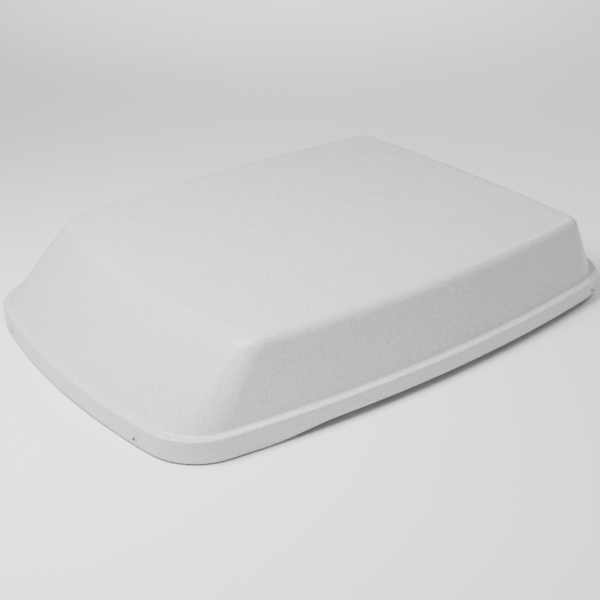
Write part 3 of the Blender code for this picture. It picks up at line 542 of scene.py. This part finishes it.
def ease(node, material, width):
    """Copy of a CAD node whose hard edges are rounded, in the node's place."""
    bm = bmesh.new()
    bm.from_mesh(frame["nodes"][node].data)
    bmesh.ops.remove_doubles(bm, verts=bm.verts, dist=SAME_POINT)
    bmesh.ops.dissolve_limit(bm, angle_limit=FLAT_WITHIN, verts=bm.verts, edges=bm.edges)
    obj = riding(f"{node}_eased", mesh_from(bm, f"{node}_eased"), [material], body_of(node))
    bevel = obj.modifiers.new("ease", "BEVEL")
    bevel.width = width
    bevel.segments = EASE_STEPS
    bevel.limit_method = "ANGLE"
    bevel.angle_limit = EASE_FROM
    bevel.miter_outer = "MITER_ARC"
    apply_modifiers(obj)
    obj.data.shade_smooth()
    obj.data.set_sharp_from_angle(angle=EASE_CREASE)
    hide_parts(node)


def build_hardware(materials):
    for node, width in EASED.items():
        ease(node, materials[slot_of(node)], width)
    for node in ("worm_wheel", "worm_spindle"):
        obj = frame["nodes"][node]
        obj.data.materials.clear()
        obj.data.materials.append(materials[slot_of(node)])


# ---- Materials -----------------------------------------------------------------------------------------


# Scales of the noises behind the finishes, in cycles per metre.
MOTTLE_SCALE = 22.0
SHEEN_SCALE = 260.0
STAIN_SCALE = 90.0
MARK_SCALE = 900.0

# How far the sheen shifts the roughness either way, and the specular level where it isn't Blender's own.
MOULDED_SHEEN = (-0.05, 0.07)
METAL_SHEEN = (-0.08, 0.14)
MOULDED_SPECULAR = 0.45
SOFT_SPECULAR = 0.2

# Parts of a noise's range over which two colours blend.
WIDE_BLEND = (0.3, 0.7)
NARROW_BLEND = (0.35, 0.65)


class Shade:
    """Small builder for one node material."""

    def __init__(self, name, roughness, metallic=0.0):
        self.material = bpy.data.materials.new(name)
        self.material.use_nodes = True
        self.tree = self.material.node_tree
        self.shader = self.tree.nodes["Principled BSDF"]
        self.shader.inputs["Roughness"].default_value = roughness
        self.shader.inputs["Metallic"].default_value = metallic
        self.coordinates = self.tree.nodes.new("ShaderNodeTexCoord").outputs["Object"]

    def stretched(self, scale):
        mapping = self.tree.nodes.new("ShaderNodeMapping")
        mapping.inputs["Scale"].default_value = scale
        self.tree.links.new(self.coordinates, mapping.inputs["Vector"])
        return mapping.outputs["Vector"]

    def noise(self, scale, detail=2.0, vector=None, roughness=0.5):
        node = self.tree.nodes.new("ShaderNodeTexNoise")
        node.inputs["Scale"].default_value = scale
        node.inputs["Detail"].default_value = detail
        node.inputs["Roughness"].default_value = roughness
        self.tree.links.new(vector or self.coordinates, node.inputs["Vector"])
        return node.outputs["Fac"]

    def ramp(self, value, low, high, at=WIDE_BLEND):
        """Colours or greys for a value, blended between two places on its range."""
        node = self.tree.nodes.new("ShaderNodeValToRGB")
        for element, place, colour in zip(node.color_ramp.elements, at, (low, high), strict=True):
            element.position = place
            element.color = (*colour, 1.0)
        self.tree.links.new(value, node.inputs["Fac"])
        return node.outputs["Color"]

    def colour(self, value, low, high):
        self.tree.links.new(self.ramp(value, low, high), self.shader.inputs["Base Color"])

    def tint(self, first, second):
        """Base colour as the product of two colours."""
        node = self.tree.nodes.new("ShaderNodeMix")
        node.data_type = "RGBA"
        node.blend_type = "MULTIPLY"
        node.inputs["Factor"].default_value = 1.0
        self.tree.links.new(first, node.inputs["A"])
        self.tree.links.new(second, node.inputs["B"])
        self.tree.links.new(node.outputs["Result"], self.shader.inputs["Base Color"])

    def gloss(self, value, roughness, shifts):
        low, high = ((roughness + shift,) * 3 for shift in shifts)
        grey = self.ramp(value, low, high)
        self.tree.links.new(grey, self.shader.inputs["Roughness"])

    def bump(self, value, distance):
        node = self.tree.nodes.new("ShaderNodeBump")
        node.inputs["Distance"].default_value = distance
        node.inputs["Strength"].default_value = 1.0
        self.tree.links.new(value, node.inputs["Height"])
        self.tree.links.new(node.outputs["Normal"], self.shader.inputs["Normal"])


def scaled(colour, share):
    return tuple(min(channel * share, 1.0) for channel in colour)


def moulded(name, colour, roughness, grain=1400.0, relief=0.00012, mottle=0.02, speckle=0.03):
    """Plastic with a fine moulded grain, a faint mottle and slightly uneven gloss."""
    shade = Shade(name, roughness)
    fine = shade.noise(grain)
    shade.tint(
        shade.ramp(shade.noise(MOTTLE_SCALE, 4.0), scaled(colour, 1 - mottle), scaled(colour, 1 + mottle)),
        shade.ramp(fine, (1 - speckle,) * 3, (1 + speckle,) * 3, NARROW_BLEND),
    )
    shade.gloss(shade.noise(SHEEN_SCALE, 3.0), roughness, MOULDED_SHEEN)
    shade.bump(fine, relief)
    shade.shader.inputs["Specular IOR Level"].default_value = MOULDED_SPECULAR
    return shade.material


def worked_metal(name, colour, roughness, direction=(1.0, 1.0, 1.0), relief=0.00002, mottle=0.10):
    """Metal with drawn or cast marks along one direction."""
    shade = Shade(name, roughness, 1.0)
    marks = shade.noise(MARK_SCALE, 3.0, shade.stretched(direction))
    shade.colour(shade.noise(STAIN_SCALE, 4.0), scaled(colour, 1 - mottle), scaled(colour, 1 + mottle))
    shade.gloss(marks, roughness, METAL_SHEEN)
    shade.bump(marks, relief)
    return shade.material


def soft(name, low, high, roughness, pores, relief):
    """Dull, porous finish between two colours for the seals; also the near-black painted shade in the screw
    recesses.
    """
    shade = Shade(name, roughness)
    cells = shade.noise(pores, 4.0, roughness=0.7)
    shade.colour(cells, low, high)
    shade.bump(cells, relief)
    shade.shader.inputs["Specular IOR Level"].default_value = SOFT_SPECULAR
    return shade.material


SHELL_COLOUR = (0.58, 0.58, 0.58)
SHELL_ROUGHNESS = 0.36
SHELL_GRAIN = 450.0
SHELL_RELIEF = 0.00022
SHELL_SPECKLE = 0.12


SCREW_PAINT = scaled(SHELL_COLOUR, 1.05)


def make_materials():
    grain = {"grain": SHELL_GRAIN, "relief": SHELL_RELIEF, "speckle": SHELL_SPECKLE}
    return {
        "moulded_shell": moulded("moulded_shell", SHELL_COLOUR, SHELL_ROUGHNESS, **grain),
        "cover_screw_paint": moulded("cover_screw_paint", SCREW_PAINT, 0.45, relief=0.00003),
        "frame_plastic": moulded("frame_plastic", (0.62, 0.62, 0.60), 0.50, relief=0.00006),
        "lid_frame_plastic": moulded("lid_frame_plastic", (0.10, 0.105, 0.11), 0.50, relief=0.00006),
        "knob_plastic": moulded("knob_plastic", (0.03, 0.03, 0.032), 0.45, relief=0.00006, mottle=0.2),
        "acetal": moulded("acetal", (0.78, 0.76, 0.70), 0.38, relief=0.00002),
        "butyl": soft("butyl", (0.05, 0.05, 0.05), (0.12, 0.12, 0.12), 0.75, 500.0, 0.0001),
        "foam": soft("foam", (0.02, 0.02, 0.02), (0.07, 0.07, 0.07), 0.95, 1500.0, 0.0004),
        "screw_steel": worked_metal("screw_steel", (0.60, 0.60, 0.61), 0.32),
        "pin_steel": worked_metal("pin_steel", (0.58, 0.58, 0.60), 0.25, (0.1, 1.0, 1.0)),
        "arm_steel": worked_metal("arm_steel", (0.55, 0.56, 0.58), 0.38, (1.0, 0.08, 0.3)),
        "track_aluminium": worked_metal("track_aluminium", (0.72, 0.72, 0.73), 0.38, (1.0, 0.04, 1.0)),
        "worm_brass": worked_metal("worm_brass", (0.66, 0.50, 0.24), 0.30, (1.0, 1.0, 0.2)),
        "crank_zinc": worked_metal("crank_zinc", (0.42, 0.42, 0.43), 0.50, relief=0.00006),
        # Near-black painted shade for the hollows of the screw heads.
        "recess_painted_shade": soft("recess_painted_shade", (0.01, 0.01, 0.01), (0.03, 0.03, 0.03), 0.8, 800.0, 0.00002),
    }


# ---- Camera, floor and light ---------------------------------------------------------------------------

CAMERA_AZIMUTH = math.radians(53.56)
CAMERA_ELEVATION = math.radians(27.44)
CAMERA_ROLL = math.radians(-1.37)
CAMERA_DISTANCE = 1.257
CAMERA_TARGET = Vector((0.0452, -0.0372, 0.0331))
CAMERA_LENS = 69.74
WORLD_STRENGTH = 0.46

# Azimuth, elevation, distance, size and power of each light.
LIGHTS = {
    "key": (math.radians(8.0), math.radians(60.0), 0.95, 0.45, 20.0),
    "back": (math.radians(172.0), math.radians(40.0), 1.6, 0.6, 7.0),
}
FLOOR_GREY = 0.86
BACKDROP_PLACE = (-1.5, 1.1, 2.2)
BACKDROP_CONE = math.radians(64.0)
BACKDROP_POWER = 300.0
BACKDROP_SIZE = 0.3
FLOOR_REACH = 12.0
FLOOR_DROP = 0.0002
FLOOR_ROUGHNESS = 0.9
FLOOR_PATCHES = 3.0
FLOOR_UNEVEN = 0.01


def build_camera():
    back = Vector(
        (
            math.sin(CAMERA_AZIMUTH) * math.cos(CAMERA_ELEVATION),
            -math.cos(CAMERA_AZIMUTH) * math.cos(CAMERA_ELEVATION),
            math.sin(CAMERA_ELEVATION),
        )
    )
    level = Vector((math.cos(CAMERA_AZIMUTH), math.sin(CAMERA_AZIMUTH), 0.0))
    above = back.cross(level)
    right = level * math.cos(CAMERA_ROLL) + above * math.sin(CAMERA_ROLL)
    up = above * math.cos(CAMERA_ROLL) - level * math.sin(CAMERA_ROLL)
    data = bpy.data.cameras.new("camera")
    data.lens = CAMERA_LENS
    data.sensor_width = 36.0
    camera = placed("camera", data)
    place = Matrix((right, up, back)).transposed().to_4x4()
    place.translation = CAMERA_TARGET + back * CAMERA_DISTANCE
    camera.matrix_world = place
    bpy.context.scene.camera = camera


def build_floor():
    bm = bmesh.new()
    bmesh.ops.create_grid(bm, x_segments=1, y_segments=1, size=FLOOR_REACH)
    floor = placed("floor", mesh_from(bm, "floor"))
    floor.location.z = -FLOOR_DROP
    shade = Shade("floor", FLOOR_ROUGHNESS)
    patches = shade.noise(FLOOR_PATCHES)
    shade.colour(patches, (FLOOR_GREY - FLOOR_UNEVEN,) * 3, (FLOOR_GREY + FLOOR_UNEVEN,) * 3)
    shade.shader.inputs["Specular IOR Level"].default_value = 0.0
    floor.data.materials.append(shade.material)


def studio_light(name, azimuth, elevation, distance, size, power):
    """Round soft light that looks at the middle of the object; azimuth 0 is over the sloped end."""
    across = math.cos(elevation) * distance
    place = Vector((math.sin(azimuth) * across, -math.cos(azimuth) * across, math.sin(elevation) * distance))
    data = bpy.data.lights.new(name, "AREA")
    data.shape = "DISK"
    data.size = size
    data.energy = power
    light = placed(name, data)
    light.location = place
    light.rotation_euler = place.to_track_quat("Z", "Y").to_euler()


def backdrop_light():
    """Spot over the floor behind the object, whose cone stays clear of the object."""
    data = bpy.data.lights.new("backdrop", "SPOT")
    data.energy = BACKDROP_POWER
    data.spot_size = BACKDROP_CONE
    data.spot_blend = 1.0
    data.shadow_soft_size = BACKDROP_SIZE
    placed("backdrop", data).location = BACKDROP_PLACE


def build_light():
    world = bpy.data.worlds.new("studio")
    world.use_nodes = True
    background = world.node_tree.nodes["Background"]
    background.inputs["Color"].default_value = (1.0, 1.0, 1.0, 1.0)
    background.inputs["Strength"].default_value = WORLD_STRENGTH
    bpy.context.scene.world = world
    for name, light in LIGHTS.items():
        studio_light(name, *light)
    backdrop_light()


materials = make_materials()
build_cover(materials["moulded_shell"])
build_screws(materials)
build_hardware(materials)
build_camera()
build_floor()
build_light()
